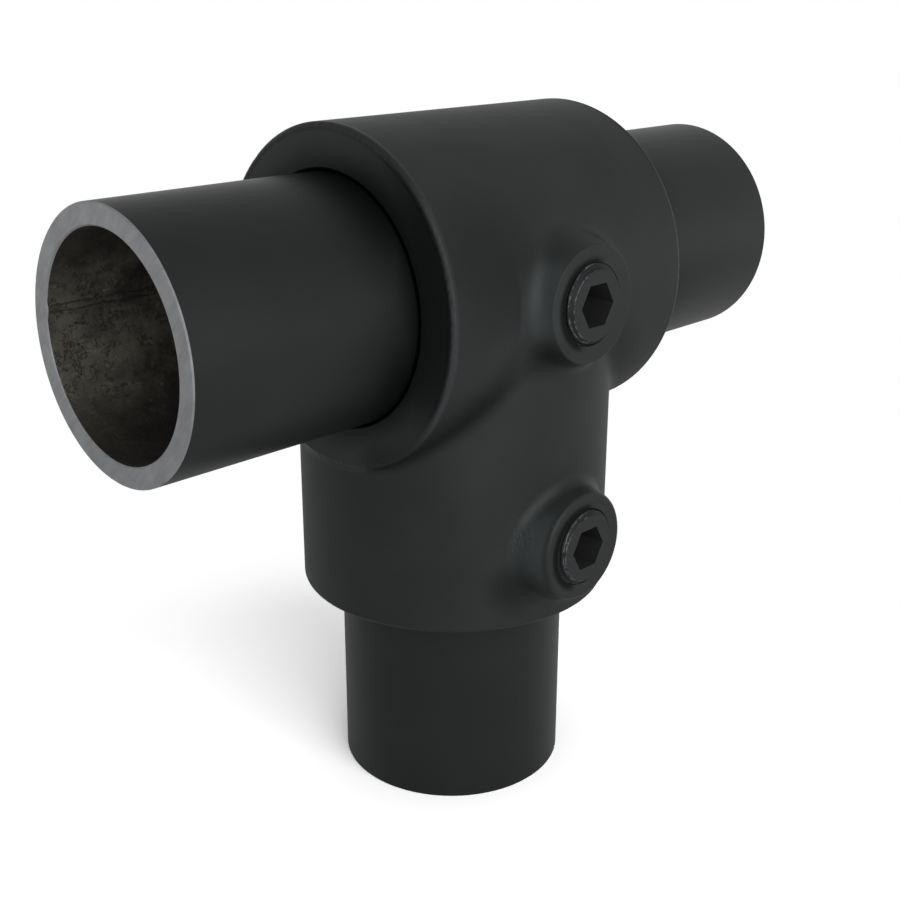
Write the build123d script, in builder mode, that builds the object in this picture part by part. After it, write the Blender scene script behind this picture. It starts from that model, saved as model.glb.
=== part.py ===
from build123d import *
import os
from math import radians, tan

# Tube clamp tee with its three tube ends, in millimetres.
# The origin is where the axes of the two tubes cross.  The run tube lies
# along X, the leg hangs down along -Z and both set screws face -Y.

# ---- tube ---------------------------------------------------------------
tube_outer = 48.3                 # structural tube, outside diameter
tube_wall = 4.0
tube_deburr = 0.25                # broken edges of the sawn ends
run_stub_left = 47.3              # run tube showing past the collar on the -X side
run_stub_right = 45.5             # and on the +X side
leg_stub = 44.2                   # leg tube showing below its socket

# ---- casting ------------------------------------------------------------
bore_clearance = 0.5              # radial gap between a tube and its socket
run_collar_outer = 66.0
leg_undersize = 0.6               # the leg socket is a little slimmer than the collar
collar_overhang = 0.2             # the collar's ends stand this far past the leg socket
leg_socket_mouth = 65.4           # lower face of the leg socket, below the run axis
stop_lip = 3.5                    # shoulder that stops the leg tube
stop_opening = 38.0               # diameter of the opening through that shoulder
rim_round = 0.9                   # cast rounding of the socket mouths
mouth_chamfer = 0.2               # lead-in of the machined bores
crotch_blend = 4.5                # blend between run collar and leg socket

# ---- bosses for the set screws ------------------------------------------
boss_stand = 3.8                  # spot faces above the run collar's surface
run_boss_rim = 22.8               # diameter of each boss at its spot face
leg_boss_rim = 22.0
boss_draft = 20.0                 # degrees
run_boss_blend = 4.4
leg_boss_blend = 2.8
run_boss_round = 0.3
leg_boss_round = 0.9
leg_screw_to_mouth = 16.0         # leg screw above the mouth of its socket

# ---- set screws: 3/8 in pipe thread, 8 mm hexagon socket ------------------
thread_major = 16.66
thread_pitch = 1.337
screw_chamfer = 1.2               # lead-in at the socket end of a screw
screw_proud = 1.1                 # how far a screw stands out of its boss
key_across_flats = 8.0
key_depth = 6.5
cup_rim = 9.0                     # diameter of the cup point's rim
cup_depth = 1.6
hole_countersink = 0.1

# ---- derived --------------------------------------------------------------
tube_r = tube_outer / 2
tube_inner_r = tube_r - tube_wall
bore_r = tube_r + bore_clearance
run_r = run_collar_outer / 2
leg_r = run_r - leg_undersize / 2
run_collar_half = leg_r + collar_overhang
run_tube_left = run_collar_half + run_stub_left
run_tube_right = run_collar_half + run_stub_right
leg_tube_end = leg_socket_mouth + leg_stub
leg_screw_drop = leg_socket_mouth - leg_screw_to_mouth
leg_stop = bore_r + stop_lip
boss_face = run_r + boss_stand
boss_foot = bore_r + 1.5          # bosses start inside the casting's wall
boss_height = boss_face - boss_foot
boss_spread = boss_height * tan(radians(boss_draft))
thread_depth = 0.64 * thread_pitch
thread_r = (thread_major - thread_depth) / 2   # threads are drawn at their pitch line
screw_face = boss_face + screw_proud
leg_tube_shift = 0.8 * bore_clearance   # the leg screw pushes its tube to the far wall


def boss_plane(distance, drop):
    """Plane that looks out of a screw boss: sketch x is +X, sketch y is +Z."""
    return Plane(origin=(0, -distance, -drop), x_dir=(1, 0, 0), z_dir=(0, -1, 0))


# ---- tee body -------------------------------------------------------------
# One casting: run collar and leg socket blended along their seam, two tapered
# bosses blended into the walls they stand on, then the machined bores.
with BuildPart() as tee_body:
    with BuildSketch(Plane.YZ.offset(-run_collar_half)):
        Circle(run_r)
    extrude(amount=2 * run_collar_half)
    fillet(tee_body.edges().filter_by(GeomType.CIRCLE), radius=rim_round)
    with BuildSketch(Plane.XY.offset(-leg_socket_mouth)):
        Circle(leg_r)
    extrude(amount=leg_socket_mouth)
    fillet(tee_body.faces().sort_by(Axis.Z)[0].edges(), radius=rim_round)
    seam = [e for e in tee_body.edges() if e.geom_type not in (GeomType.CIRCLE, GeomType.LINE)]
    fillet(seam, radius=crotch_blend)

    for drop, rim, blend in (
        (leg_screw_drop, leg_boss_rim, leg_boss_blend),
        (0.0, run_boss_rim, run_boss_blend),
    ):
        with BuildSketch(boss_plane(boss_foot, drop)):
            Circle(rim / 2 + boss_spread)
        extrude(amount=boss_height, taper=boss_draft)
        foot_edges = [
            e for e in tee_body.edges(Select.NEW)
            if e.geom_type not in (GeomType.CIRCLE, GeomType.LINE)
        ]
        fillet(foot_edges, radius=blend)
    spot_faces = tee_body.faces().filter_by(Axis.Y).group_by(Axis.Y)[0].sort_by(Axis.Z)
    for spot_face, rounding in zip(spot_faces, (leg_boss_round, run_boss_round)):
        fillet(spot_face.edges(), radius=rounding)

    # Through bore for the run tube.
    with BuildSketch(Plane.YZ.offset(-run_collar_half)):
        Circle(bore_r)
    extrude(amount=2 * run_collar_half, mode=Mode.SUBTRACT)
    # Blind socket for the leg tube, with a smaller opening past its stop lip.
    with BuildSketch(Plane.XY.offset(-leg_socket_mouth)):
        Circle(bore_r)
    extrude(amount=leg_socket_mouth - leg_stop, mode=Mode.SUBTRACT)
    with BuildSketch(Plane.XY.offset(-leg_stop)):
        Circle(stop_opening / 2)
    extrude(amount=leg_stop, mode=Mode.SUBTRACT)
    mouth_faces = tee_body.faces().filter_by(Axis.X).group_by(Axis.X)
    mouth_edges = [
        face.inner_wires()[0].edge()
        for face in (*mouth_faces[0], *mouth_faces[-1], tee_body.faces().sort_by(Axis.Z)[0])
    ]
    chamfer(mouth_edges, length=mouth_chamfer)

    # Tapped holes, at the thread's pitch line, with a small countersink.
    for drop in (0.0, leg_screw_drop):
        with BuildSketch(boss_plane(boss_face, drop)):
            Circle(thread_r)
        extrude(amount=-(boss_face - bore_r + 8), mode=Mode.SUBTRACT)
    spot_faces = tee_body.faces().filter_by(Axis.Y).group_by(Axis.Y)[0]
    chamfer([face.inner_wires()[0].edge() for face in spot_faces], length=hole_countersink)
tee_body.part.label = "tee_body"

# ---- run tube ---------------------------------------------------------------
with BuildPart() as run_tube:
    with BuildSketch(Plane.YZ.offset(-run_tube_left)):
        Circle(tube_r)
        Circle(tube_inner_r, mode=Mode.SUBTRACT)
    extrude(amount=run_tube_left + run_tube_right)
    chamfer(run_tube.edges().filter_by(GeomType.CIRCLE), length=tube_deburr)
run_tube.part.label = "run_tube"

# ---- leg tube: its top end seats on the stop lip ------------------------------
with BuildPart() as leg_tube:
    with BuildSketch(Plane((0, leg_tube_shift, -leg_tube_end))):
        Circle(tube_r)
        Circle(tube_inner_r, mode=Mode.SUBTRACT)
    extrude(amount=leg_tube_end - leg_stop)
    chamfer(leg_tube.edges().filter_by(GeomType.CIRCLE), length=tube_deburr)
leg_tube.part.label = "leg_tube"

# ---- set screws: hexagon socket outside, cup point against the tube -----------
def screw_profile(tip):
    """Half section of a set screw whose cup rim stands at y = -tip."""
    return [
        (0, -screw_face),
        (thread_r - screw_chamfer, -screw_face),
        (thread_r, -screw_face + screw_chamfer),
        (thread_r, -tip - (thread_r - cup_rim / 2)),
        (cup_rim / 2, -tip),
        (0, -tip - cup_depth),
    ]


with BuildPart() as run_set_screw:
    with BuildSketch(Plane.XY):
        with BuildLine():
            Polyline(*screw_profile(tube_r), close=True)
        make_face()
    revolve(axis=Axis.Y)
    with BuildSketch(boss_plane(screw_face, 0)):
        RegularPolygon(key_across_flats / 2, 6, major_radius=False)
    extrude(amount=-key_depth, mode=Mode.SUBTRACT)
run_set_screw.part.label = "run_set_screw"

with BuildPart() as leg_set_screw:
    with BuildSketch(Plane.XY.offset(-leg_screw_drop)):
        with BuildLine():
            Polyline(*screw_profile(tube_r - leg_tube_shift), close=True)
        make_face()
    revolve(axis=Axis((0, 0, -leg_screw_drop), (0, 1, 0)))
    with BuildSketch(boss_plane(screw_face, leg_screw_drop)):
        RegularPolygon(key_across_flats / 2, 6, major_radius=False)
    extrude(amount=-key_depth, mode=Mode.SUBTRACT)
leg_set_screw.part.label = "leg_set_screw"

# ---- write every piece ----------------------------------------------------------
os.makedirs("parts", exist_ok=True)
for piece in (tee_body, run_tube, leg_tube, run_set_screw, leg_set_screw):
    export_step(piece.part, f"parts/{piece.part.label}.step")
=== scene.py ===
"""Tube clamp tee: a black cast tee with three tube ends and two threaded set screws, dressed in Blender."""

import logging
import math
from dataclasses import dataclass
from enum import Enum, IntEnum
from typing import Callable, Sequence

import bmesh
import bpy
from mathutils import Matrix, Vector


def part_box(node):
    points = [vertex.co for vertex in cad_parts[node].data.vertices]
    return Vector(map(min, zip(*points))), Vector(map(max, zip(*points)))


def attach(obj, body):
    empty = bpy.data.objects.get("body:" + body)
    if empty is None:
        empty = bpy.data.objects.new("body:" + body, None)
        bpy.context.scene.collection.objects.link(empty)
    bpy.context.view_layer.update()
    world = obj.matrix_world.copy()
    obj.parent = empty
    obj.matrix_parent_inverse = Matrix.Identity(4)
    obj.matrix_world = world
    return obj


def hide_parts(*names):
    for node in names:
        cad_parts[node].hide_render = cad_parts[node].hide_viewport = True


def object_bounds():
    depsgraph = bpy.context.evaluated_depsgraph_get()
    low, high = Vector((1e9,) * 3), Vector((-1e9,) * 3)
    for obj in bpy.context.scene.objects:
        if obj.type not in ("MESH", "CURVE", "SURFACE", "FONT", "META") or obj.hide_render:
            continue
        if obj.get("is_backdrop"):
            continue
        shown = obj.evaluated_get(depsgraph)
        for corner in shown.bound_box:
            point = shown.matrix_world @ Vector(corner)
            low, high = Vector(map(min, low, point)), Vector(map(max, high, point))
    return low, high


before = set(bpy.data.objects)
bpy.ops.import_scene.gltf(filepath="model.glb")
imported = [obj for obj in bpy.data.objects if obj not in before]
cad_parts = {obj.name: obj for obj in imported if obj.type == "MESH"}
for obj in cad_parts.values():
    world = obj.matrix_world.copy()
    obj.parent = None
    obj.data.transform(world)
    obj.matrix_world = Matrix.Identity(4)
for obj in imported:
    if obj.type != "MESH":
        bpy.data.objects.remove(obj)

LOG = logging.getLogger("tee")
MM = 0.001
Point = tuple[float, float, float]
Face = tuple[int, ...]

# What counts towards a distance: the place along X, the radius about X, the radius about Y, or the height.
ALONG: Point = (1.0, 0.0, 0.0)
AROUND: Point = (0.0, 1.0, 1.0)
FACING: Point = (1.0, 0.0, 1.0)
HEIGHT: Point = (0.0, 0.0, 1.0)
EVERYWHERE: Point = (1.0, 1.0, 1.0)


class TubeAxis(Enum):
    """The two ways a tube lies in the fitting."""

    RUN = "run"
    LEG = "leg"


# ---------------------------------------------------------------------------
# Shader and mesh helpers
# ---------------------------------------------------------------------------


class NodeSheet:
    """A node tree under construction: adds nodes, links them and sets sockets."""

    def __init__(self, tree: bpy.types.NodeTree) -> None:
        """Takes over a tree and empties it."""
        self.tree = tree
        self.tree.nodes.clear()

    def add(self, kind: str, **settings: object) -> bpy.types.Node:
        """Adds a node.

        Args:
            kind: the node's type name.
            settings: properties, or input sockets by name with spaces as underscores.

        Returns:
            The new node.
        """
        node = self.tree.nodes.new(kind)
        for key, value in settings.items():
            if hasattr(node, key):
                setattr(node, key, value)
            else:
                node.inputs[key.replace("_", " ")].default_value = value
        return node

    def link(self, source: bpy.types.Node, out: str | int, target: bpy.types.Node, into: str | int) -> None:
        """Links one node's output to another's input."""
        self.tree.links.new(source.outputs[out], target.inputs[into])

    def math(self, operation: str, *operands: object) -> bpy.types.Node:
        """Math nodes in a chain.

        Args:
            operation: what each node does.
            operands: numbers, (node, output) pairs, or nodes that stand for their first output.

        Returns:
            The last node.
        """
        total = operands[0]
        for operand in operands[1:] or (0.0,):
            node = self.add("ShaderNodeMath", operation=operation)
            for index, side in enumerate((total, operand)):
                if isinstance(side, (int, float)):
                    node.inputs[index].default_value = side
                else:
                    self.link(*(side if isinstance(side, tuple) else (side, 0)), node, index)
            total = node
        return total

    def product(self, *operands: object) -> bpy.types.Node:
        """The product of its operands."""
        return self.math("MULTIPLY", *operands)

    def highest(self, *operands: object) -> bpy.types.Node:
        """The highest of its operands."""
        return self.math("MAXIMUM", *operands)

    def between(self, source: bpy.types.Node, out: str | int, low: float, high: float) -> bpy.types.Node:
        """A smooth step from 0 at one value to 1 at another, which may be the lower one."""
        node = self.add("ShaderNodeMapRange", interpolation_type="SMOOTHSTEP")
        node.inputs["From Min"].default_value = min(low, high)
        node.inputs["From Max"].default_value = max(low, high)
        node.inputs["To Min"].default_value = 0.0 if low < high else 1.0
        node.inputs["To Max"].default_value = 1.0 if low < high else 0.0
        self.link(source, out, node, "Value")
        return node


class ShaderSheet(NodeSheet):
    """A material under construction, with a Principled surface."""

    def __init__(self, name: str) -> None:
        """Makes the material under a name."""
        self.material = bpy.data.materials.new(name)
        self.material.use_nodes = True
        super().__init__(self.material.node_tree)
        self.surface = self.add("ShaderNodeBsdfPrincipled")
        self.link(self.surface, "BSDF", self.add("ShaderNodeOutputMaterial"), "Surface")

    def place(self, scale: Point = (1, 1, 1), turn: Point = (0, 0, 0), shift: Point = (0, 0, 0)) -> bpy.types.Node:
        """Object coordinates through a Mapping node.

        Args:
            scale: stretch along each axis.
            turn: rotation in degrees.
            shift: location in metres.

        Returns:
            The Mapping node.
        """
        where = self.add("ShaderNodeTexCoord")
        mapping = self.add("ShaderNodeMapping")
        mapping.inputs["Location"].default_value = shift
        mapping.inputs["Rotation"].default_value = tuple(math.radians(a) for a in turn)
        mapping.inputs["Scale"].default_value = scale
        self.link(where, "Object", mapping, "Vector")
        return mapping

    def axes(self, shift: Point = (0, 0, 0)) -> bpy.types.Node:
        """The object coordinates one by one, after a shift."""
        apart = self.add("ShaderNodeSeparateXYZ")
        self.link(self.place(shift=shift), "Vector", apart, 0)
        return apart

    def noise(self, mapping: bpy.types.Node, scale: float, detail: float = 2.0, rough: float = 0.5,
              warp: float = 0.0) -> bpy.types.Node:
        """A noise texture on a mapping."""
        node = self.add("ShaderNodeTexNoise", Scale=scale, Detail=detail, Roughness=rough, Distortion=warp)
        self.link(mapping, "Vector", node, "Vector")
        return node

    def distance(self, scale: Point, shift: Point = (0, 0, 0)) -> bpy.types.Node:
        """Length of the object coordinates after a stretch and a shift."""
        node = self.add("ShaderNodeVectorMath", operation="LENGTH")
        self.link(self.place(scale=scale, shift=shift), "Vector", node, 0)
        return node

    def blend(self, factor: bpy.types.Node, out: str | int, first: object, second: object) -> bpy.types.Node:
        """Mixes two colours; each is a colour or a (node, output) pair. Its output is number 2."""
        node = self.add("ShaderNodeMix", data_type="RGBA")
        self.link(factor, out, node, 0)
        for index, side in ((6, first), (7, second)):
            if isinstance(side[0], bpy.types.Node):
                self.link(side[0], side[1], node, index)
            else:
                node.inputs[index].default_value = (*side, 1.0)
        return node

    def gloss(self, roughness: float, specular: float, metallic: float = 0.0) -> None:
        """Sets the surface's roughness, specular level and metallic value."""
        self.surface.inputs["Roughness"].default_value = roughness
        self.surface.inputs["Specular IOR Level"].default_value = specular
        self.surface.inputs["Metallic"].default_value = metallic

    def dull(self, mask: bpy.types.Node, specular: float) -> None:
        """Takes the specular level from its value down to nothing where a mask is 1."""
        clean = self.math("SUBTRACT", 1.0, mask)
        self.link(self.product(clean, specular), 0, self.surface, "Specular IOR Level")

    def ramp(self, source: bpy.types.Node, out: str | int,
             stops: Sequence[tuple[float, Sequence[float]]]) -> bpy.types.Node:
        """A colour ramp fed by a value.

        Args:
            source: node that gives the value.
            out: its output.
            stops: (position, colour) pairs in order.

        Returns:
            The ColorRamp node.
        """
        node = self.add("ShaderNodeValToRGB")
        band = node.color_ramp
        while len(band.elements) < len(stops):
            band.elements.new(1.0)
        for element, (position, colour) in zip(band.elements, stops):
            element.position = position
            element.color = (*colour, 1.0)
        self.link(source, out, node, "Fac")
        return node

    def bump(self, height: bpy.types.Node, out: str | int, strength: float, distance: float,
             under: bpy.types.Node | None = None) -> bpy.types.Node:
        """A Bump node, stacked on another where one is given."""
        node = self.add("ShaderNodeBump", Strength=strength, Distance=distance)
        self.link(height, out, node, "Height")
        if under is not None:
            self.link(under, "Normal", node, "Normal")
        return node


def grey(level: float, tint: Sequence[float] = (1.0, 1.0, 1.0)) -> tuple[float, float, float]:
    """A grey with a slight tint."""
    return tuple(level * t for t in tint)


def new_piece(name: str, points: Sequence[Point], faces: Sequence[Face], finishes: Sequence[bpy.types.Material],
              finish_of: Sequence[int], smooth_angle: float = 35.0) -> bpy.types.Object:
    """Makes a mesh object at the origin, in metres.

    Args:
        name: the piece's name.
        points: vertices in metres.
        faces: vertex indices of each face.
        finishes: the materials.
        finish_of: material index of each face.
        smooth_angle: edges sharper than this, in degrees, stay sharp.

    Returns:
        The linked object.
    """
    mesh = bpy.data.meshes.new(name)
    mesh.from_pydata(points, [], faces)
    for finish in finishes:
        mesh.materials.append(finish)
    mesh.polygons.foreach_set("material_index", list(finish_of))
    mesh.polygons.foreach_set("use_smooth", [True] * len(faces))
    mesh.update()
    mesh.set_sharp_from_angle(angle=math.radians(smooth_angle))
    piece = bpy.data.objects.new(name, mesh)
    bpy.context.scene.collection.objects.link(piece)
    return piece


# ---------------------------------------------------------------------------
# Finishes
# ---------------------------------------------------------------------------


@dataclass(frozen=True)
class CastCoat:
    """Satin black over a cast surface: slow waves, fine grain, stray nicks, ragged rims and one scar, with painted
    shade in the hollows, the crease, the collar ends and round the screws, and painted light on the left skirts and
    front rims.
    """

    name: str = "cast_coat"
    level: float = 0.0145
    tint: Point = (0.88, 1.01, 1.03)
    roughness: float = 0.50
    specular: float = 0.21
    wave: float = 0.00022
    peel: float = 0.000016
    nick: float = 0.00005
    rag: float = 0.00022
    scar: float = 0.00030
    collar_end: float = 32.9 * MM
    collar_radius: float = 33.0 * MM
    bore_radius: float = 24.65 * MM
    scar_at: Point = (-13.0 * MM, -32.0 * MM, -46.0 * MM)
    screw_heights: tuple[float, ...] = (0.0, -49.4 * MM)
    # painted shade: a dark crescent round the left of each screw hole
    shade_shift: float = 0.55 * MM
    shade_radius: float = 8.45 * MM
    shade_from: float = -35.5 * MM
    # painted shade: dark spots in the hollows below the bosses and on the collar's front flank (centre, reach,
    # strength)
    hollows: tuple[tuple[Point, float, float], ...] = (
        ((-10.5 * MM, -34.0 * MM, -10.0 * MM), 6.5 * MM, 0.48),
        ((-13.5 * MM, -31.0 * MM, -56.5 * MM), 8.0 * MM, 0.45),
        ((-22.2 * MM, -31.3 * MM, 10.5 * MM), 19.0 * MM, 0.36),
    )
    shade_strength: float = 0.80
    crease_shade_strength: float = 0.45
    # painted light: paler left skirts of the bosses, flat beside the upper boss and front collar rims
    flat_light: float = 0.30
    boss_light: tuple[float, float] = (0.75, 0.50)
    rim_light: float = 0.45
    lit_level: float = 0.0400
    # colour of the painted shade
    shade_colour: Point = (0.0030, 0.0030, 0.0030)

    def painted_shade(self, sheet: ShaderSheet) -> bpy.types.Node:
        """Mask of the painted shade in a crescent round the left side of each screw hole, on the boss face."""
        arcs = []
        for height in self.screw_heights:
            away = sheet.distance(FACING, (self.shade_shift, 0.0, -height))
            near = sheet.between(away, "Value", self.shade_radius + 1.20 * MM, self.shade_radius - 0.20 * MM)
            place = sheet.axes((0.0, 0.0, -height))
            slant = sheet.math("SUBTRACT", (place, "X"), sheet.product((place, "Z"), 0.32))
            left = sheet.between(slant, 0, 1.2 * MM, -2.2 * MM)
            arcs.append(sheet.product(near, left))
        place = sheet.axes()
        outside = sheet.between(place, "Y", self.shade_from, self.shade_from - 0.4 * MM)
        return sheet.product(sheet.highest(*arcs), outside, self.shade_strength)

    def hollow_shade(self, sheet: ShaderSheet) -> bpy.types.Node:
        """Mask of the painted shade in the hollows below the bosses and on the front flank of the collar."""
        near = []
        for centre, reach, strength in self.hollows:
            away = sheet.distance(EVERYWHERE, tuple(-c for c in centre))
            near.append(sheet.product(sheet.between(away, "Value", reach, 0.15 * reach), strength))
        return sheet.highest(*near)

    def crease_shade(self, sheet: ShaderSheet) -> bpy.types.Node:
        """Mask of the painted shade in a band on the collar just above the blend to the leg socket, on both sides."""
        place = sheet.axes()
        side = sheet.math("ABSOLUTE", (place, "X"))
        above = sheet.math("ADD", (place, "Z"), side)
        under = sheet.between(above, 0, 15.0 * MM, 3.0 * MM)
        over = sheet.between(above, 0, -3.0 * MM, 1.0 * MM)
        clear = sheet.between(side, 0, 9.0 * MM, 19.0 * MM)
        front = sheet.between(place, "Y", -4.0 * MM, -12.0 * MM)
        return sheet.product(under, over, clear, front, self.crease_shade_strength)

    def painted_light(self, sheet: ShaderSheet) -> bpy.types.Node:
        """Mask of the painted light: paler skirts at the left of the bosses, the flat beside the upper one and the
        front rims of the collar.
        """
        place = sheet.axes()
        front = sheet.between(place, "Y", -28.0 * MM, -30.0 * MM)
        left = sheet.between(place, "X", -5.0 * MM, -9.0 * MM)
        edge = sheet.between(place, "X", -16.2 * MM, -15.6 * MM)
        tall = sheet.between(sheet.distance(HEIGHT, (0.0, 0.0, -1.5 * MM)), "Value", 9.0 * MM, 4.0 * MM)
        flat = sheet.product(edge, tall, left, self.flat_light)
        for height, strength in zip(self.screw_heights, self.boss_light):
            away = sheet.distance(FACING, (0.0, 0.0, -height))
            inner = sheet.between(away, "Value", 11.15 * MM, 11.6 * MM)
            outer = sheet.between(away, "Value", 15.2 * MM, 12.8 * MM)
            level = sheet.distance(HEIGHT, (0.0, 0.0, -height - 2.0 * MM))
            near = sheet.between(level, "Value", 9.0 * MM, 4.5 * MM)
            ring = sheet.product(inner, outer, near, left, strength)
            flat = sheet.highest(flat, ring)
        flat = sheet.product(flat, front)
        ahead = sheet.between(place, "Y", -22.0 * MM, -29.0 * MM)
        edge = sheet.product(self.rim(sheet), ahead, self.rim_light)
        return sheet.highest(flat, edge)

    def mouth(self, sheet: ShaderSheet) -> bpy.types.Node:
        """Mask of the painted shade on the collar's ends: beside the tube, and all over on the screws' side."""
        along = sheet.distance(ALONG)
        around = sheet.distance(AROUND)
        place = sheet.axes()
        at_end = sheet.between(along, "Value", self.collar_end - 0.16 * MM, self.collar_end - 0.05 * MM)
        beside = sheet.between(around, "Value", self.bore_radius + 6.5 * MM, self.bore_radius - 0.5 * MM)
        beside = sheet.product(beside, 0.60)
        facing = sheet.between(place, "Y", -13.0 * MM, -26.0 * MM)
        high = sheet.between(place, "Z", -24.0 * MM, -12.0 * MM)
        front = sheet.product(facing, high, 0.50)
        return sheet.product(at_end, sheet.highest(beside, front))

    def rim(self, sheet: ShaderSheet) -> bpy.types.Node:
        """Mask of the two rims of the run collar."""
        along = sheet.distance(ALONG)
        around = sheet.distance(AROUND)
        near_end = sheet.between(along, "Value", self.collar_end - 1.6 * MM, self.collar_end - 0.7 * MM)
        near_edge = sheet.between(around, "Value", self.collar_radius - 1.7 * MM, self.collar_radius - 0.8 * MM)
        not_leg = sheet.between(around, "Value", self.collar_radius + 0.9 * MM, self.collar_radius + 0.2 * MM)
        return sheet.product(near_edge, not_leg, near_end)

    def material(self) -> bpy.types.Material:
        """Builds the material."""
        sheet = ShaderSheet(self.name)
        even = sheet.place()
        waves = sheet.noise(even, 70.0, 2.0, 0.5)
        peel = sheet.noise(even, 1100.0, 3.0, 0.6)
        nicks = sheet.between(sheet.noise(even, 390.0, 1.0, 0.4), "Fac", 0.76, 0.84)
        ragged = sheet.product(sheet.noise(even, 620.0, 2.0, 0.6), self.rim(sheet))
        x, y, z = self.scar_at
        from_scar = sheet.distance((1.0, 1.0, 0.6), (-x, -y, -0.6 * z))
        near_scar = sheet.between(from_scar, "Value", 4.4 * MM, 1.6 * MM)
        scarred = sheet.product(sheet.noise(even, 700.0, 4.0, 0.65, 1.2), near_scar)
        lift = sheet.bump(waves, "Fac", 1.0, self.wave)
        lift = sheet.bump(peel, "Fac", 1.0, self.peel, lift)
        lift = sheet.bump(sheet.product(nicks, -1.0), 0, 1.0, self.nick, lift)
        lift = sheet.bump(ragged, 0, 1.0, self.rag, lift)
        lift = sheet.bump(scarred, 0, 1.0, self.scar, lift)
        sheet.link(lift, "Normal", sheet.surface, "Normal")
        colour = sheet.ramp(waves, "Fac", [
            (0.3, grey(self.level * 0.88, self.tint)), (0.7, grey(self.level * 1.15, self.tint))])
        # painted shade: crescents, collar ends, hollows and crease take the shade colour and lose their specular
        painted_shade = sheet.highest(self.painted_shade(sheet), self.mouth(sheet), self.hollow_shade(sheet), self.crease_shade(sheet))
        # painted light: the paler patches take the lit level
        colour = sheet.blend(self.painted_light(sheet), 0, (colour, "Color"), grey(self.lit_level, self.tint))
        with_shade = sheet.blend(painted_shade, 0, (colour, 2), self.shade_colour)
        sheet.link(with_shade, 2, sheet.surface, "Base Color")
        sheet.gloss(self.roughness, self.specular)
        sheet.dull(painted_shade, self.specular)
        return sheet.material


@dataclass(frozen=True)
class TubeCoat:
    """Smooth satin black on drawn tube, with faint lengthwise unevenness and, on the run tube, painted shade next to
    the collar.
    """

    name: str
    along: TubeAxis
    level: float = 0.0115
    tint: Point = (0.86, 1.0, 1.02)
    roughness: float = 0.42
    specular: float = 0.20
    drawn: float = 0.00003
    peel: float = 0.000006
    entry: float = 32.9 * MM
    # painted shade on the run tube beside the collar: reach, strength, start and full heights
    shade_bands: tuple[tuple[float, float, float, float], ...] = (
        (6.0 * MM, 0.70, -40.0 * MM, -30.0 * MM),
        (17.0 * MM, 0.85, 4.0 * MM, 20.0 * MM),
        (26.0 * MM, 0.80, 6.0 * MM, -14.0 * MM),
    )
    shade_colour: Point = (0.0015, 0.0015, 0.0015)

    def material(self) -> bpy.types.Material:
        """Builds the material."""
        sheet = ShaderSheet(self.name)
        stretch = (0.08, 1.0, 1.0) if self.along is TubeAxis.RUN else (1.0, 1.0, 0.08)
        lines = sheet.noise(sheet.place(scale=stretch), 420.0, 3.0, 0.55)
        peel = sheet.noise(sheet.place(), 1800.0, 2.0, 0.5)
        slow = sheet.noise(sheet.place(), 55.0, 2.0, 0.5)
        lift = sheet.bump(lines, "Fac", 1.0, self.drawn)
        lift = sheet.bump(peel, "Fac", 1.0, self.peel, lift)
        sheet.link(lift, "Normal", sheet.surface, "Normal")
        colour = sheet.ramp(slow, "Fac", [
            (0.3, grey(self.level * 0.9, self.tint)), (0.7, grey(self.level * 1.12, self.tint))])
        sheet.gloss(self.roughness, self.specular)
        # painted shade: the run tube darkens towards the collar and loses its specular there
        if self.along is TubeAxis.RUN:
            out = sheet.distance(ALONG)
            painted_shade = sheet.between(out, "Value", self.entry + 0.6 * MM, self.entry + 0.1 * MM)
            place = sheet.axes()
            for reach, strength, start, full in self.shade_bands:
                near_collar = sheet.between(out, "Value", self.entry + reach, self.entry - 0.15 * reach)
                band = sheet.between(place, "Z", start, full)
                dull = sheet.product(band, near_collar, strength)
                painted_shade = sheet.highest(painted_shade, dull)
            colour = sheet.blend(painted_shade, 0, (colour, "Color"), self.shade_colour)
            sheet.dull(painted_shade, self.specular)
        sheet.link(colour, 2 if self.along is TubeAxis.RUN else "Color", sheet.surface, "Base Color")
        return sheet.material


@dataclass(frozen=True)
class SawnSteel:
    """Bare steel of a sawn tube end, blotched and crossed by fine slanting blade marks."""

    name: str
    along: TubeAxis
    level: float = 0.255
    tint: Point = (0.96, 1.0, 1.03)
    roughness: float = 0.52
    mark: float = 0.00003

    def material(self) -> bpy.types.Material:
        """Builds the material."""
        sheet = ShaderSheet(self.name)
        turn = (42.0, 0.0, 0.0) if self.along is TubeAxis.RUN else (0.0, 0.0, 42.0)
        stretch = (1.0, 1.0, 5.0) if self.along is TubeAxis.RUN else (1.0, 5.0, 1.0)
        slanted = sheet.place(scale=stretch, turn=turn)
        slanted.vector_type = "TEXTURE"
        marks = sheet.noise(slanted, 1000.0, 4.0, 0.65)
        blotch = sheet.noise(sheet.place(), 260.0, 4.0, 0.62)
        tone = sheet.math("ADD", marks, blotch)
        colour = sheet.ramp(sheet.product(tone, 0.5), 0, [
            (place, grey(self.level * share, self.tint)) for place, share in ((0.36, 0.84), (0.5, 1.0), (0.64, 1.15))])
        sheet.link(colour, "Color", sheet.surface, "Base Color")
        lift = sheet.bump(marks, "Fac", 1.0, self.mark)
        sheet.link(lift, "Normal", sheet.surface, "Normal")
        sheet.gloss(self.roughness, 0.5, 0.75)
        return sheet.material


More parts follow.
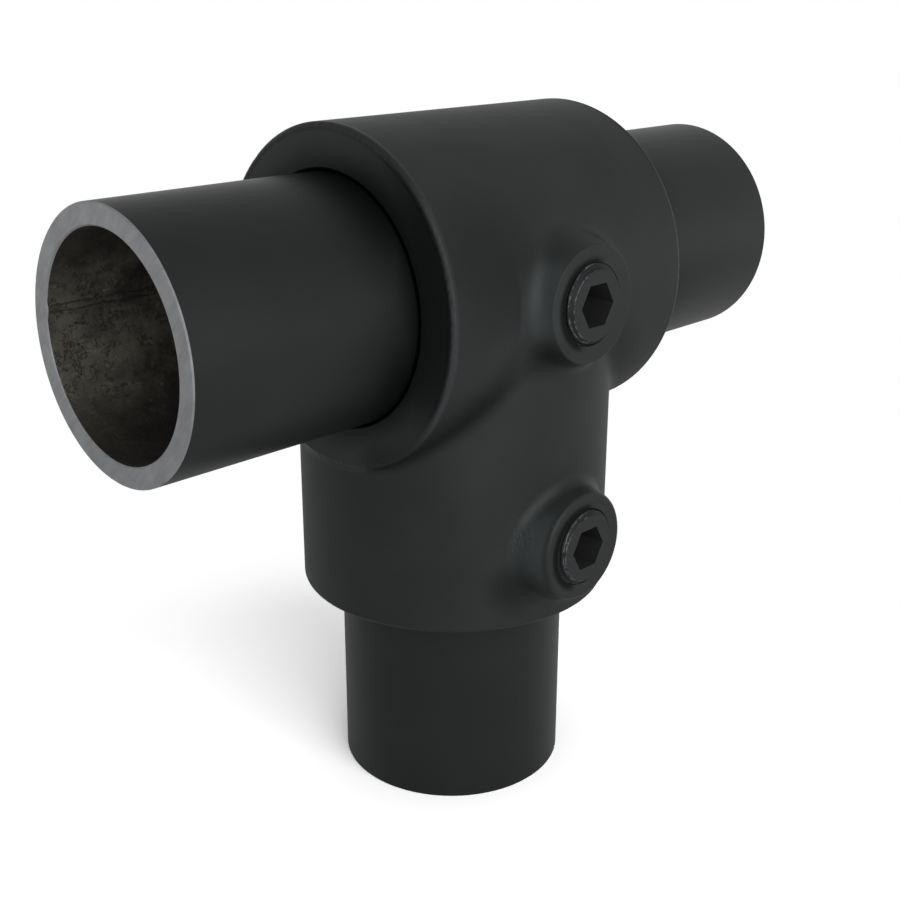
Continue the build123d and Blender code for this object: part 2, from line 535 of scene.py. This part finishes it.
@dataclass(frozen=True)
class BoreScale:
    """Brown-grey mill scale inside the tube: blotched crust, fine cracks by the weld, pale scratches, with painted
    shade towards the top and bottom of the bore and near the run tube's ends.
    """

    name: str
    along: TubeAxis
    roughness: float = 0.60
    specular: float = 0.35
    crust: float = 0.00030
    crack: float = 0.00025
    grain: float = 0.00012
    weld_rise: float = 3.0 * MM
    weld_edge: float = 0.60 * MM
    worn: Point = (0.122, 0.114, 0.090)
    middling: Point = (0.070, 0.063, 0.051)
    sooty: Point = (0.028, 0.023, 0.019)
    scratched: Point = (0.24, 0.225, 0.185)
    cracked: Point = (0.016, 0.013, 0.010)
    unlit: Point = (0.010, 0.009, 0.007)

    def level(self, sheet: ShaderSheet, shift: float) -> bpy.types.Node:
        """Distance from a plane through the bore at a height above its axis (sideways in the leg)."""
        across = (0.0, 0.0, 1.0) if self.along is TubeAxis.RUN else (1.0, 0.0, 0.0)
        return sheet.distance(across, tuple(-shift * a for a in across))

    def material(self) -> bpy.types.Material:
        """Builds the material."""
        sheet = ShaderSheet(self.name)
        even = sheet.place()
        crust = sheet.noise(even, 330.0, 6.0, 0.66, 0.6)
        grain = sheet.noise(even, 1700.0, 4.0, 0.7)
        patches = sheet.noise(even, 95.0, 5.0, 0.6)
        beside = sheet.between(self.level(sheet, self.weld_rise), "Value", 9.0 * MM, 1.5 * MM)
        wander = sheet.noise(even, 820.0, 6.0, 0.74)
        broken = sheet.between(sheet.noise(even, 480.0, 3.0, 0.6), "Fac", 0.46, 0.58)
        off = sheet.math("ABSOLUTE", sheet.math("SUBTRACT", wander, 0.5))
        thin = sheet.between(off, 0, 0.026, 0.006)
        where = sheet.highest(sheet.between(patches, "Fac", 0.50, 0.60), beside)
        cracks = sheet.product(thin, broken, where)
        wobble = sheet.math("SUBTRACT", sheet.noise(even, 230.0, 3.0, 0.6), 0.5)
        wobble = sheet.product(wobble, 0.9 * MM)
        from_weld = sheet.math("ADD", (self.level(sheet, self.weld_rise), "Value"), wobble)
        to_edge = sheet.math("ABSOLUTE", sheet.math("SUBTRACT", from_weld, self.weld_edge))
        seam = sheet.product(sheet.between(to_edge, 0, 0.22 * MM, 0.07 * MM), sheet.between(grain, "Fac", 0.38, 0.52))
        dark = sheet.highest(cracks, seam)
        scratch = sheet.between(sheet.noise(even, 900.0, 4.0, 0.75, 0.8), "Fac", 0.60, 0.68)
        tone = sheet.math("ADD", sheet.product(patches, 0.6), sheet.product(crust, 0.4))
        colour = sheet.ramp(tone, 0, [(0.39, self.sooty), (0.50, self.middling), (0.62, self.worn)])
        pale = sheet.blend(sheet.product(scratch, 0.60), 0, (colour, "Color"), self.scratched)
        lined = sheet.blend(sheet.product(dark, 0.88), 0, (pale, 2), self.cracked)
        # painted shade: darker towards the top and bottom of the bore
        edge = sheet.between(self.level(sheet, -1.0 * MM), "Value", 8.0 * MM, 18.5 * MM)
        shaded = sheet.blend(sheet.product(edge, 0.72), 0, (lined, 2), self.unlit)
        if self.along is TubeAxis.RUN:
            # painted shade: darker towards the run tube's ends
            out = sheet.distance(ALONG)
            open_end = sheet.product(sheet.between(out, "Value", 60.0 * MM, 79.0 * MM), 0.40)
            shaded = sheet.blend(open_end, 0, (shaded, 2), self.unlit)
        sheet.link(shaded, 2, sheet.surface, "Base Color")
        lift = sheet.bump(crust, "Fac", 1.0, self.crust)
        lift = sheet.bump(sheet.product(dark, -1.0), 0, 1.0, self.crack, lift)
        lift = sheet.bump(grain, "Fac", 1.0, self.grain, lift)
        sheet.link(lift, "Normal", sheet.surface, "Normal")
        sheet.gloss(self.roughness, self.specular)
        return sheet.material


@dataclass(frozen=True)
class ScrewCoat:
    """Thin black on a set screw, rubbed through along the crests of its thread, with a painted highlight along the
    face's edge; both show on the left side only.
    """

    name: str
    height: float
    face: float
    tip: float
    pitch: float
    start: float
    level: float = 0.0145
    # pale colour of the worn crests and of the painted highlight
    worn: float = 0.105
    tint: Point = (0.88, 1.0, 1.02)
    roughness: float = 0.50
    specular: float = 0.22
    face_edge: float = 6.70 * MM
    thread_edge: float = 7.88 * MM
    socket_colour: Point = (0.0210, 0.0210, 0.0210)

    def crest(self, sheet: ShaderSheet, jag: bpy.types.Node) -> bpy.types.Node:
        """Mask of the thread's crest line, by the same rule as the thread's shape, made ragged."""
        place = sheet.axes((0.0, 0.0, -self.height))
        angle = sheet.math("DIVIDE", sheet.math("ARCTAN2", (place, "Z"), (place, "X")), 2 * math.pi)
        along = sheet.math("DIVIDE", sheet.math("SUBTRACT", self.tip, (place, "Y")), self.pitch)
        turns = sheet.math("SUBTRACT", sheet.math("ADD", along, self.start + 4.0), angle)
        turns = sheet.math("ADD", turns, sheet.product(jag, 0.22))
        phase = sheet.math("FRACT", turns)
        off = sheet.math("ABSOLUTE", sheet.math("SUBTRACT", phase, 0.5))
        return sheet.between(off, 0, 0.085, 0.03)

    def material(self) -> bpy.types.Material:
        """Builds the material."""
        sheet = ShaderSheet(self.name)
        even = sheet.place()
        radius = sheet.distance(FACING, (0.0, 0.0, -self.height))
        outside = sheet.between(radius, "Value", self.face_edge - 0.02 * MM, self.face_edge + 0.06 * MM)
        grit = sheet.noise(even, 1000.0, 3.0, 0.7)
        jag = sheet.math("SUBTRACT", grit, 0.5)
        ragged = sheet.math("ADD", (radius, "Value"), sheet.product(jag, 0.55 * MM))
        shut = sheet.between(ragged, 0, self.thread_edge - 0.18 * MM, self.thread_edge - 0.06 * MM)
        # painted highlight: a pale line just outside the face's edge
        face_edge_highlight = sheet.between(ragged, 0, self.face_edge + 0.17 * MM, self.face_edge + 0.09 * MM)
        line = sheet.highest(self.crest(sheet, jag), sheet.highest(shut, face_edge_highlight))
        rub = sheet.between(sheet.noise(even, 560.0, 4.0, 0.7), "Fac", 0.44, 0.56)
        place = sheet.axes()
        left = sheet.between(place, "X", 1.5 * MM, -3.0 * MM)
        some = sheet.product(outside, sheet.product(rub, left))
        # partly worn crests, partly painted highlight, on the left side only
        wear_and_highlight = sheet.product(line, some)
        inward = sheet.between(place, "Y", self.face + 0.10 * MM, self.face + 0.50 * MM)
        socket = sheet.product(inward, sheet.between(radius, "Value", 5.6 * MM, 5.2 * MM))
        colour = sheet.blend(wear_and_highlight, 0, grey(self.level, self.tint), grey(self.worn, self.tint))
        colour = sheet.blend(socket, 0, (colour, 2), self.socket_colour)
        sheet.link(colour, 2, sheet.surface, "Base Color")
        lift = sheet.bump(sheet.product(jag, outside), 0, 1.0, 0.00016)
        lift = sheet.bump(sheet.noise(even, 420.0, 2.0, 0.5), "Fac", 1.0, 0.00004, lift)
        lift = sheet.bump(sheet.noise(even, 1400.0, 3.0, 0.6), "Fac", 1.0, 0.000012, lift)
        sheet.link(lift, "Normal", sheet.surface, "Normal")
        sheet.gloss(self.roughness, self.specular)
        dull = sheet.highest(sheet.product(outside, 0.45), sheet.product(socket, 0.10))
        sheet.dull(dull, self.specular)
        return sheet.material


# ---------------------------------------------------------------------------
# Sub-assemblies
# ---------------------------------------------------------------------------


class TubeSkin(IntEnum):
    """Material slots of a tube."""

    COAT = 0
    SAWN = 1
    SCALE = 2


@dataclass
class SteelTube:
    """A sawn length of welded tube: outer wall, two bare ends, bore with its weld bead."""

    node: str
    along: TubeAxis
    outer_radius: float = 24.15 * MM
    wall: float = 4.0 * MM
    broken_edge: float = 0.25 * MM
    bead_angle: float = 8.0
    bead_height: float = 0.32 * MM
    bead_half_width: float = 1.3 * MM
    segments: int = 240
    stations: int = 24

    def at(self, middle: Vector, angle: float, radius: float, along: float) -> Point:
        """A point of the tube from its middle, its polar place and its place along the axis."""
        across, up = radius * math.cos(angle), radius * math.sin(angle)
        if self.along is TubeAxis.RUN:
            return (along, middle.y + across, middle.z + up)
        return (middle.x + up, middle.y + across, along)

    def bore_radius(self, angle: float) -> float:
        """Radius of the bore at an angle: round, with a low flat-topped bead at the weld."""
        inner = self.outer_radius - self.wall
        off = (math.degrees(angle) - self.bead_angle + 180.0) % 360.0 - 180.0
        reach = abs(math.radians(off)) * inner / self.bead_half_width
        rise = max(0.0, 1.0 - reach**2) ** 0.6 if reach < 1.0 else 0.0
        groove = 0.35 * math.exp(-((reach - 1.25) / 0.22) ** 2)
        return inner - self.bead_height * (rise - groove)

    def profile(self) -> list[tuple[Callable[[float], float], float, TubeSkin]]:
        """Rings of the closed section in order: radius rule, place along the axis, skin of the band after it."""
        low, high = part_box(self.node)
        index = 0 if self.along is TubeAxis.RUN else 2
        start, end, edge = low[index], high[index], self.broken_edge
        places = [start + edge + (end - start - 2 * edge) * k / self.stations for k in range(self.stations + 1)]

        def outer(angle: float) -> float:
            """Radius of the outer wall."""
            return self.outer_radius

        def outer_edge(angle: float) -> float:
            """Radius at the outer broken edge."""
            return self.outer_radius - edge

        def inner_edge(angle: float) -> float:
            """Radius at the inner broken edge."""
            return self.bore_radius(angle) + edge

        rings = [(outer, place, TubeSkin.COAT) for place in places[:-1]]
        sawn = TubeSkin.SAWN
        rings += [(outer, places[-1], sawn), (outer_edge, end, sawn), (inner_edge, end, sawn)]
        rings += [(self.bore_radius, place, TubeSkin.SCALE) for place in places[:0:-1]]
        rings += [(self.bore_radius, places[0], sawn), (inner_edge, start, sawn), (outer_edge, start, sawn)]
        return rings

    def build(self) -> bpy.types.Object:
        """Builds and dresses the tube.

        Returns:
            The finished piece.
        """
        low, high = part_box(self.node)
        middle = (low + high) / 2
        rings = self.profile()
        turns = [2 * math.pi * s / self.segments for s in range(self.segments)]
        points = [self.at(middle, turn, rule(turn), along) for rule, along, _ in rings for turn in turns]
        faces: list[Face] = []
        skins: list[int] = []
        for k, (_, _, skin) in enumerate(rings):
            here, there = k * self.segments, (k + 1) % len(rings) * self.segments
            for s in range(self.segments):
                n = (s + 1) % self.segments
                quad = (here + s, there + s, there + n, here + n)
                faces.append(quad if self.along is TubeAxis.LEG else quad[::-1])
                skins.append(int(skin))
        tag = self.along.value
        finishes = [
            TubeCoat(f"{tag}_tube_coat", self.along).material(),
            SawnSteel(f"{tag}_tube_sawn", self.along).material(),
            BoreScale(f"{tag}_tube_scale", self.along).material(),
        ]
        piece = new_piece(f"{tag}_tube_shown", points, faces, finishes, skins)
        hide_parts(self.node)
        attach(piece, "root")
        return piece


class ThreadTree:
    """Geometry Nodes tree that makes the threaded shank of a set screw from a grid."""

    SIZES = ("Major Radius", "Depth", "Pitch", "Length", "Face Radius", "Point Radius", "Start")

    def __init__(self, name: str) -> None:
        """Builds the tree under a name."""
        self.group = bpy.data.node_groups.new(name, "GeometryNodeTree")
        self.identifiers: dict[str, str] = {}
        self._socket("Geometry", "Geometry")
        for label in self.SIZES:
            self._socket(label, "Float")
        for label in ("Segments", "Rows"):
            self._socket(label, "Int")
        self._socket("Material", "Material")
        self.group.interface.new_socket("Geometry", in_out="OUTPUT", socket_type="NodeSocketGeometry")
        self._wire()

    def _socket(self, label: str, kind: str) -> None:
        """Adds an input of a kind and keeps its identifier."""
        socket = self.group.interface.new_socket(label, in_out="INPUT", socket_type=f"NodeSocket{kind}")
        self.identifiers[label] = socket.identifier

    def _node(self, kind: str, **settings: object) -> bpy.types.Node:
        """Adds a node with properties set."""
        node = self.group.nodes.new(kind)
        for key, value in settings.items():
            setattr(node, key, value)
        return node

    def _math(self, operation: str, *operands: object) -> bpy.types.NodeSocket:
        """Adds a Math node; operands are numbers or sockets. Returns its output."""
        node = self._node("ShaderNodeMath", operation=operation)
        for index, operand in enumerate(operands):
            if isinstance(operand, bpy.types.NodeSocket):
                self.group.links.new(operand, node.inputs[index])
            else:
                node.inputs[index].default_value = operand
        return node.outputs[0]

    def _wire(self) -> None:
        """Lays out the grid, the thread's rule and the material."""
        links = self.group.links
        entry = self._node("NodeGroupInput").outputs
        leave = self._node("NodeGroupOutput")
        grid = self._node("GeometryNodeMeshGrid")
        grid.inputs["Size X"].default_value = 1.0
        grid.inputs["Size Y"].default_value = 1.0
        links.new(self._math("ADD", entry["Segments"], 1.0), grid.inputs["Vertices X"])
        links.new(self._math("ADD", entry["Rows"], 1.0), grid.inputs["Vertices Y"])
        place = self._node("ShaderNodeSeparateXYZ")
        links.new(self._node("GeometryNodeInputPosition").outputs[0], place.inputs[0])
        around = self._math("ADD", place.outputs[0], 0.5)
        height = self._math("MULTIPLY", self._math("ADD", place.outputs[1], 0.5), entry["Length"])
        turns = self._math("ADD", self._math("DIVIDE", height, entry["Pitch"]), entry["Start"])
        phase = self._math("FRACT", self._math("SUBTRACT", turns, around))
        swing = self._math("SUBTRACT", self._math("MULTIPLY", phase, 2.0), 1.0)
        slope = self._math("SUBTRACT", 1.0, self._math("ABSOLUTE", swing))
        flat = self._node("ShaderNodeMapRange", interpolation_type="SMOOTHSTEP")
        links.new(slope, flat.inputs["Value"])
        flat.inputs["From Min"].default_value = 0.06
        flat.inputs["From Max"].default_value = 0.94
        below = self._math("MULTIPLY", self._math("SUBTRACT", 1.0, flat.outputs["Result"]), entry["Depth"])
        thread = self._math("SUBTRACT", entry["Major Radius"], below)
        upper = self._math("ADD", entry["Face Radius"], self._math("SUBTRACT", entry["Length"], height))
        lower = self._math("ADD", entry["Point Radius"], height)
        radius = self._math("MINIMUM", self._math("MINIMUM", thread, upper), lower)
        angle = self._math("MULTIPLY", around, 2 * math.pi)
        spot = self._node("ShaderNodeCombineXYZ")
        links.new(self._math("MULTIPLY", radius, self._math("COSINE", angle)), spot.inputs[0])
        links.new(self._math("MULTIPLY", height, -1.0), spot.inputs[1])
        links.new(self._math("MULTIPLY", radius, self._math("SINE", angle)), spot.inputs[2])
        bend = self._node("GeometryNodeSetPosition")
        links.new(grid.outputs["Mesh"], bend.inputs["Geometry"])
        links.new(spot.outputs[0], bend.inputs["Position"])
        weld = self._node("GeometryNodeMergeByDistance")
        weld.inputs["Distance"].default_value = 1e-6
        links.new(bend.outputs[0], weld.inputs["Geometry"])
        whole = self._node("GeometryNodeRealizeInstances")
        links.new(weld.outputs[0], whole.inputs[0])
        dress = self._node("GeometryNodeSetMaterial")
        links.new(whole.outputs[0], dress.inputs["Geometry"])
        links.new(entry["Material"], dress.inputs["Material"])
        links.new(dress.outputs[0], leave.inputs[0])


@dataclass
class SetScrew:
    """A set screw: threaded shank, hexagon socket with a chamfered mouth, cup point."""

    node: str
    thread_start: float = 0.0
    major_radius: float = 7.88 * MM
    depth: float = 0.856 * MM
    pitch: float = 1.337 * MM
    face_radius: float = 6.70 * MM
    cup_radius: float = 4.5 * MM
    cup_depth: float = 1.6 * MM
    key_flat: float = 4.0 * MM
    key_depth: float = 6.5 * MM
    key_chamfer: float = 0.03 * MM
    drill_point: float = 0.9 * MM
    segments: int = 144
    rows: int = 144

    def centre(self) -> tuple[float, float, float]:
        """Height of the screw's axis, and its outer and inner ends along Y."""
        low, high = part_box(self.node)
        return (low.z + high.z) / 2, low.y, high.y

    def shank(self, length: float, finish: bpy.types.Material) -> bpy.types.Mesh:
        """The threaded shank as a plain mesh, its point at the origin and its face towards -Y.

        Args:
            length: length of the screw.
            finish: its material.

        Returns:
            A new mesh.
        """
        tree = ThreadTree(f"{self.node}_thread")
        holder = bpy.data.objects.new(f"{self.node}_holder", bpy.data.meshes.new(f"{self.node}_holder"))
        bpy.context.scene.collection.objects.link(holder)
        modifier = holder.modifiers.new("thread", "NODES")
        modifier.node_group = tree.group
        sizes = {
            "Major Radius": self.major_radius, "Depth": self.depth, "Pitch": self.pitch, "Length": length,
            "Face Radius": self.face_radius, "Point Radius": self.cup_radius, "Start": self.thread_start,
            "Segments": self.segments, "Rows": self.rows, "Material": finish,
        }
        for label, value in sizes.items():
            modifier[tree.identifiers[label]] = value
        evaluated = holder.evaluated_get(bpy.context.evaluated_depsgraph_get())
        mesh = bpy.data.meshes.new_from_object(evaluated)
        holder.modifiers.remove(modifier)
        bpy.data.objects.remove(holder)
        return mesh

    def hexagon(self, angle: float) -> float:
        """Radius of the socket's wall at an angle."""
        sixth = math.pi / 3
        off = angle % sixth - sixth / 2
        return self.key_flat / math.cos(off)

    def build(self) -> bpy.types.Object:
        """Builds and dresses the screw.

        Returns:
            The finished piece.
        """
        height, outer_end, inner_end = self.centre()
        length = inner_end - outer_end
        finish = ScrewCoat(f"{self.node}_coat", height, outer_end, inner_end, self.pitch, self.thread_start).material()
        shank = self.shank(length, finish)
        shank.transform(Matrix.Translation((0.0, inner_end, height)))
        points: list[Point] = [tuple(v.co) for v in shank.vertices]
        faces: list[Face] = [tuple(p.vertices) for p in shank.polygons]
        top = self.rim(shank, outer_end, height)
        foot = self.rim(shank, inner_end, height)
        angles = [math.atan2(points[i][2] - height, points[i][0]) for i in top]

        def ring(scale: float, depth: float) -> list[int]:
            """Adds a hexagon ring at a depth below the face and returns its indices."""
            first = len(points)
            for angle in angles:
                radius = self.hexagon(angle) * scale
                points.append((radius * math.cos(angle), outer_end + depth, height + radius * math.sin(angle)))
            return list(range(first, len(points)))

        mouth = ring(1.0 + self.key_chamfer / self.key_flat, 0.0)
        neck = ring(1.0, self.key_chamfer)
        floor = ring(1.0, self.key_depth)
        points.append((0.0, outer_end + self.key_depth + self.drill_point, height))
        tip = len(points) - 1
        points.append((0.0, inner_end - self.cup_depth, height))
        cup = len(points) - 1
        for before, after in ((top, mouth), (mouth, neck), (neck, floor)):
            for k in range(len(before)):
                n = (k + 1) % len(before)
                faces.append((before[k], before[n], after[n], after[k]))
        faces.extend((floor[k], floor[(k + 1) % len(floor)], tip) for k in range(len(floor)))
        faces.extend((foot[(k + 1) % len(foot)], foot[k], cup) for k in range(len(foot)))
        bpy.data.meshes.remove(shank)
        piece = new_piece(f"{self.node}_shown", points, faces, [finish], [0] * len(faces), 28.0)
        turn_outwards(piece)
        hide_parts(self.node)
        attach(piece, "root")
        return piece

    def rim(self, mesh: bpy.types.Mesh, level: float, height: float) -> list[int]:
        """Indices of the shank's end loop at a level along Y, in order of angle."""
        loop = [v.index for v in mesh.vertices if abs(v.co.y - level) < 1e-6]
        return sorted(loop, key=lambda i: math.atan2(mesh.vertices[i].co.z - height, mesh.vertices[i].co.x))


def turn_outwards(piece: bpy.types.Object) -> None:
    """Recalculates a closed mesh's normals so that they point out."""
    work = bmesh.new()
    work.from_mesh(piece.data)
    bmesh.ops.recalc_face_normals(work, faces=work.faces)
    work.to_mesh(piece.data)
    work.free()
    piece.data.update()


@dataclass
class CastTee:
    """The cast body: collar, leg socket and screw bosses, as the CAD model has them."""

    node: str = "tee_body"

    def build(self) -> bpy.types.Object:
        """Dresses the cast body.

        Returns:
            The CAD node's object.
        """
        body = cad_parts[self.node]
        body.data.materials.clear()
        body.data.materials.append(CastCoat().material())
        return body


@dataclass
class Studio:
    """Pale floor, white surroundings, one soft lamp and the camera."""

    floor_level: float
    camera_turn: float = -45.05
    camera_rise: float = 19.60
    camera_roll: float = 0.10
    camera_distance: float = 279.74 * MM
    camera_aim: float = -35.11 * MM
    lens: float = 52.226
    shift: tuple[float, float] = (-0.0038, -0.0166)
    sky_light: float = 0.45
    overhead: float = 0.55
    floor_size: float = 3.0
    floor_grey: float = 0.8
    floor_gain: float = 2.35
    floor_shine: float = 1.10
    shadow_fade: tuple[float, float] = (72.0 * MM, 118.0 * MM)
    floor_fade: tuple[float, float] = (0.35, 0.80)
    lamp_turn: float = -105.0
    lamp_rise: float = 19.0
    lamp_distance: float = 1.10
    lamp_size: float = 1.0
    lamp_power: float = 10.4
    lamp_aim: float = -0.04

    def seen(self, sheet: NodeSheet) -> bpy.types.Node:
        """A node that gives 1 for camera, glossy and transmission rays, and 0 for the rest."""
        path = sheet.add("ShaderNodeLightPath")
        return sheet.highest(*((path, f"Is {kind} Ray") for kind in ("Camera", "Glossy", "Transmission")))

    def floor(self) -> bpy.types.Object:
        """A wide pale floor that reads white, keeps the shadow near the leg and fades to plain white further out."""
        size, z = self.floor_size, self.floor_level
        mesh = bpy.data.meshes.new("floor")
        mesh.from_pydata([(-size, -size, z), (size, -size, z), (size, size, z), (-size, size, z)], [], [(0, 1, 2, 3)])
        floor = bpy.data.objects.new("floor", mesh)
        bpy.context.scene.collection.objects.link(floor)
        material = bpy.data.materials.new("floor_white")
        material.use_nodes = True
        sheet = NodeSheet(material.node_tree)
        own = (*grey(self.floor_grey), 1.0)
        matte = sheet.add("ShaderNodeBsdfDiffuse", Color=own)
        path = sheet.add("ShaderNodeLightPath")
        whiter: tuple[bpy.types.Node, str | int] = (matte, "Color")
        for ray, gain in (("Is Camera Ray", self.floor_gain), ("Is Glossy Ray", self.floor_shine)):
            pick = sheet.add("ShaderNodeMix", data_type="RGBA")
            pick.inputs[6].default_value = own
            pick.inputs[7].default_value = (*grey(self.floor_grey * gain), 1.0)
            sheet.link(path, ray, pick, 0)
            sheet.link(pick, 2, *whiter)
            whiter = (pick, 6)
        level = sheet.add("ShaderNodeVectorMath", operation="MULTIPLY")
        level.inputs[1].default_value = (1.0, 1.0, 0.0)
        sheet.link(sheet.add("ShaderNodeTexCoord"), "Object", level, 0)
        reach = sheet.add("ShaderNodeVectorMath", operation="LENGTH")
        sheet.link(level, 0, reach, 0)
        far = sheet.highest(*(
            sheet.product(sheet.between(reach, "Value", *fade), ray)
            for ray, fade in (((path, "Is Camera Ray"), self.shadow_fade), (self.seen(sheet), self.floor_fade))
        ))
        both = sheet.add("ShaderNodeMixShader")
        for index, part in enumerate((far, matte, sheet.add("ShaderNodeEmission"))):
            sheet.link(part, 0, both, index)
        sheet.link(both, 0, sheet.add("ShaderNodeOutputMaterial"), "Surface")
        mesh.materials.append(material)
        floor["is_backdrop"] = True
        return floor

    def surroundings(self) -> None:
        """White world to the camera and in reflections, dimmer as a light."""
        world = bpy.data.worlds.new("surroundings")
        bpy.context.scene.world = world
        world.use_nodes = True
        sheet = NodeSheet(world.node_tree)
        sky = sheet.add("ShaderNodeBackground", Color=(1.0, 1.0, 1.0, 1.0))
        strength = sheet.add("ShaderNodeMapRange", To_Min=self.sky_light, To_Max=1.0)
        sheet.link(self.seen(sheet), 0, strength, "Value")
        place = sheet.add("ShaderNodeSeparateXYZ")
        sheet.link(sheet.add("ShaderNodeTexCoord"), "Generated", place, 0)
        dim = sheet.add("ShaderNodeMapRange", From_Max=0.5, To_Min=1.0, To_Max=self.overhead)
        sheet.link(place, "Z", dim, "Value")
        pick = sheet.add("ShaderNodeMix")
        pick.inputs[2].default_value = 1.0
        sheet.link(sheet.add("ShaderNodeLightPath"), "Is Glossy Ray", pick, 0)
        sheet.link(dim, "Result", pick, 3)
        sheet.link(sheet.product(strength, pick), 0, sky, "Strength")
        sheet.link(sky, 0, sheet.add("ShaderNodeOutputWorld"), "Surface")

    def lamp(self) -> bpy.types.Object:
        """A square soft lamp that faces the fitting."""
        turn, rise = math.radians(self.lamp_turn), math.radians(self.lamp_rise)
        towards = Vector((math.cos(turn) * math.cos(rise), math.sin(turn) * math.cos(rise), math.sin(rise)))
        light = bpy.data.lights.new("key_lamp", "AREA")
        light.size, light.energy = self.lamp_size, self.lamp_power
        lamp = bpy.data.objects.new("key_lamp", light)
        bpy.context.scene.collection.objects.link(lamp)
        lamp.location = Vector((0.0, 0.0, self.lamp_aim)) + towards * self.lamp_distance
        lamp.rotation_mode = "QUATERNION"
        lamp.rotation_quaternion = (-towards).to_track_quat("-Z", "Y")
        return lamp

    def camera(self) -> bpy.types.Object:
        """The camera that looks at the fitting from the front left and above."""
        turn, rise, roll = (math.radians(a) for a in (self.camera_turn, self.camera_rise, self.camera_roll))
        back = Vector((math.sin(turn) * math.cos(rise), -math.cos(turn) * math.cos(rise), math.sin(rise)))
        right = Vector((math.cos(turn), math.sin(turn), 0.0))
        up = back.cross(right)
        seen_right = right * math.cos(roll) + up * math.sin(roll)
        seen_up = up * math.cos(roll) - right * math.sin(roll)
        lens = bpy.data.cameras.new("camera")
        lens.lens = self.lens
        lens.sensor_width = 36.0
        lens.shift_x, lens.shift_y = self.shift
        lens.clip_start, lens.clip_end = 0.01, 20.0
        camera = bpy.data.objects.new("camera", lens)
        bpy.context.scene.collection.objects.link(camera)
        place = back * self.camera_distance + Vector((0.0, 0.0, self.camera_aim))
        rows = Matrix((seen_right, seen_up, back)).transposed()
        camera.matrix_world = Matrix.Translation(place) @ rows.to_4x4()
        bpy.context.scene.camera = camera
        return camera

    def build(self) -> None:
        """Sets up the whole studio."""
        self.floor()
        self.surroundings()
        self.lamp()
        self.camera()
        bpy.context.scene.view_settings.view_transform = "Standard"


def main() -> None:
    """Builds every piece in order and reports it."""
    logging.basicConfig(level=logging.INFO, format="%(name)s: %(message)s")
    cad_low, cad_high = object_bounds()
    Studio(floor_level=cad_low.z).build()
    builders = (
        CastTee(),
        SteelTube("run_tube", TubeAxis.RUN),
        SteelTube("leg_tube", TubeAxis.LEG),
        SetScrew("run_set_screw", thread_start=0.30),
        SetScrew("leg_set_screw", thread_start=0.72),
    )
    for builder in builders:
        piece = builder.build()
        LOG.info("%s: %d faces", piece.name, len(piece.data.polygons))


if __name__ == "__main__":
    main()
